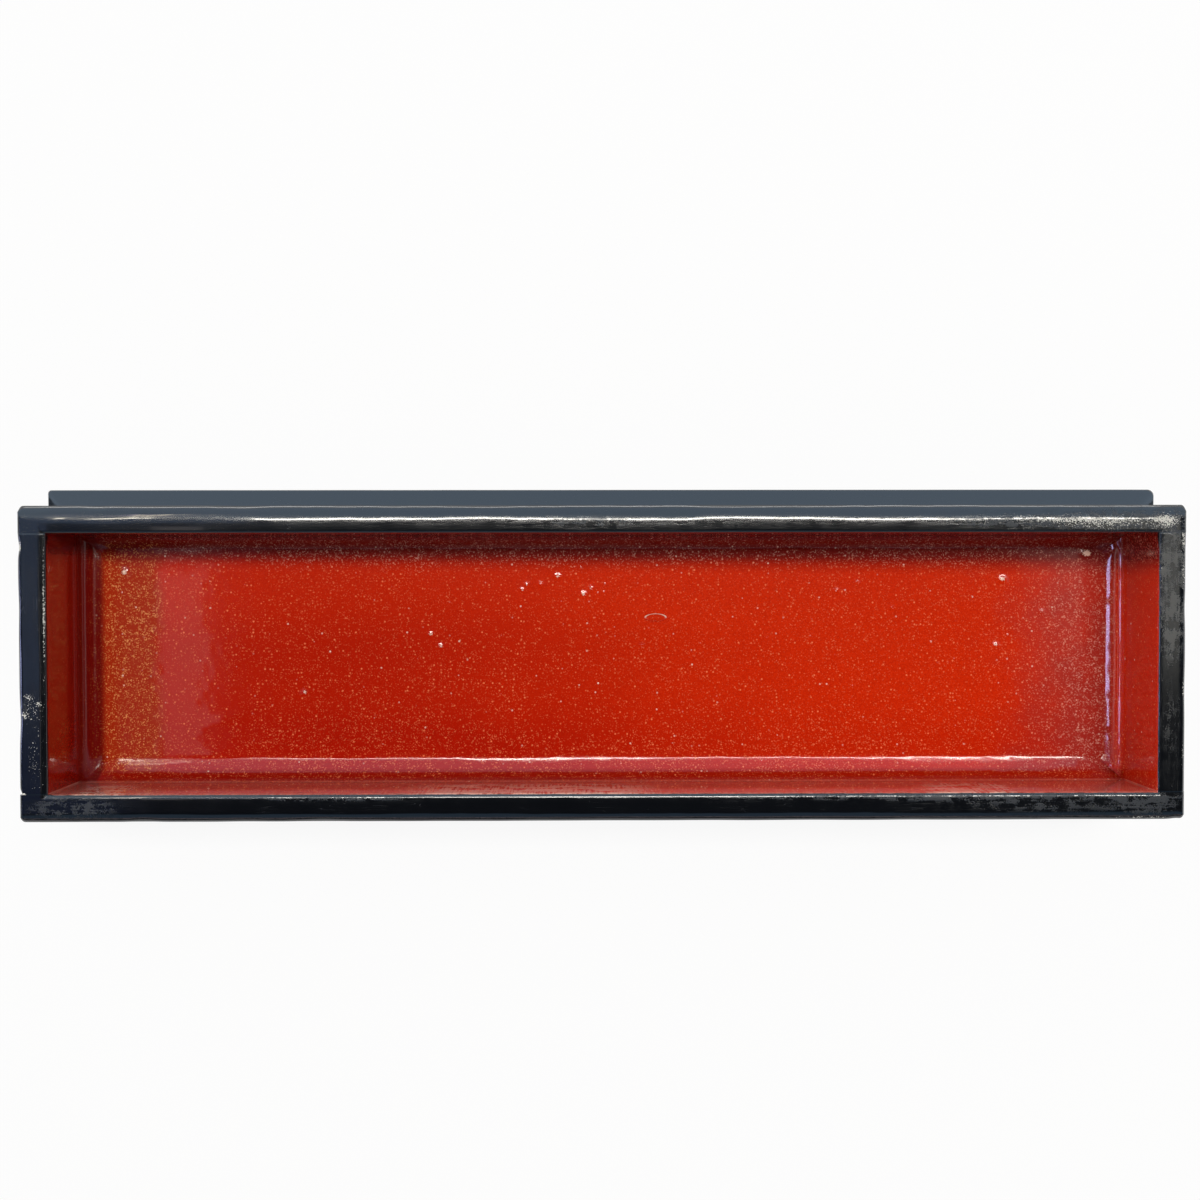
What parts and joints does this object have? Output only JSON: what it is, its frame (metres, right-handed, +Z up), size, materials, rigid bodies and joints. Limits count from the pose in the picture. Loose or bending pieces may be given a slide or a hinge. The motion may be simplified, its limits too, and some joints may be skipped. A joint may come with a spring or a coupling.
{
  "type": "lacquered ink box",
  "caption": "Slim lacquered ink box: an open tray with black rims and a red inside stands on its own deep lid, whose bevelled top edge shows behind it. Lifts off; the lid closes over it.",
  "frame": {"origin": "on the surface it stands on, under the middle of the box, level with the lid's lower rim", "axes": "+X along the box to its right end, +Y across it to the back, +Z up"},
  "size_m": [0.2636, 0.079, 0.0505],
  "materials": {
    "black_lacquer": "black lacquer over wood, glossy, hand rubbed, worn at the rim",
    "red_lacquer": "vermilion lacquer over wood and putty, glossy, with fine orange peel and dust nibs",
    "bamboo": "plain split bamboo, dry"
  },
  "bodies": {
    "lid": {"lid_front_wall": "black_lacquer", "lid_back_wall": "black_lacquer", "lid_left_wall": "black_lacquer", "lid_right_wall": "black_lacquer", "lid_top_board": "black_lacquer", "lid_corner_pegs": "bamboo", "lid_dowels": "bamboo"},
    "tray": {"tray_front_wall": "black_lacquer", "tray_back_wall": "black_lacquer", "tray_left_wall": "black_lacquer", "tray_right_wall": "black_lacquer", "tray_floor_board": "red_lacquer", "tray_front_cove": "red_lacquer", "tray_back_cove": "red_lacquer", "tray_left_cove": "red_lacquer", "tray_right_cove": "red_lacquer", "tray_corner_pegs": "bamboo", "tray_floor_pegs": "bamboo"}
  },
  "joints": [
    {"name": "tray_lift", "type": "slide", "parent": "lid", "child": "tray", "axis": [0, 0, 1], "range_m": [0, 0.06]}
  ]
}
